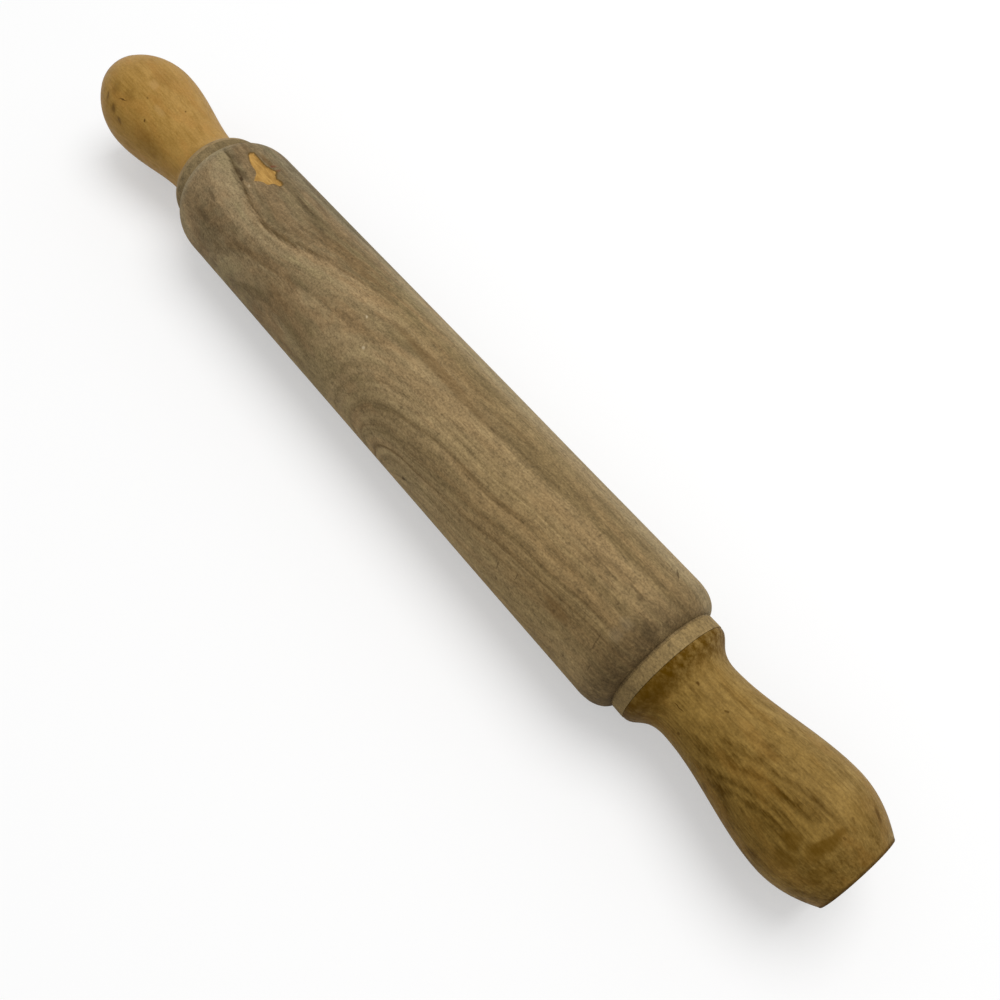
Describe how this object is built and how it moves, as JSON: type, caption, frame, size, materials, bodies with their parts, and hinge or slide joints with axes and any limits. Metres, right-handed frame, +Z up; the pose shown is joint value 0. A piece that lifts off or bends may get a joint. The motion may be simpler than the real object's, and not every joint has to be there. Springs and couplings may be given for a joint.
{
  "type": "rolling pin",
  "caption": "Wooden rolling pin: a bare barrel with rounded shoulders and narrow collars turns on a hidden steel axle between waisted, polished handles with bulbed ends.",
  "frame": {"origin": "on the surface that the pin rests on, under the middle of the barrel", "axes": "+X along the axle towards the right handle, +Z up, +Y across the barrel"},
  "size_m": [0.4536, 0.0558, 0.0558],
  "materials": {
    "bare_wood": "bare, matt, grey-brown with long grain",
    "polished_wood": "golden, worn smooth, satin",
    "plug_wood": "end grain, satin",
    "bright_steel": "turned, bright",
    "spring_steel": "oil-blackened",
    "nylon": "natural, satin"
  },
  "bodies": {
    "grip": {"axle_rod": "bright_steel", "left_handle": "polished_wood", "right_handle": "polished_wood", "left_thrust_washer": "bright_steel", "right_thrust_washer": "bright_steel", "left_nut_washer": "bright_steel", "right_nut_washer": "bright_steel", "left_lock_washer": "spring_steel", "right_lock_washer": "spring_steel", "left_nut": "bright_steel", "right_nut": "bright_steel", "left_end_plug": "plug_wood", "right_end_plug": "plug_wood"},
    "roller": {"barrel": "bare_wood", "left_bush": "nylon", "right_bush": "nylon"}
  },
  "joints": [
    {"name": "barrel_spin", "type": "hinge", "parent": "grip", "child": "roller", "pos_m": [0, 0, 0.02789], "axis": [1, 0, 0], "continuous": true}
  ]
}
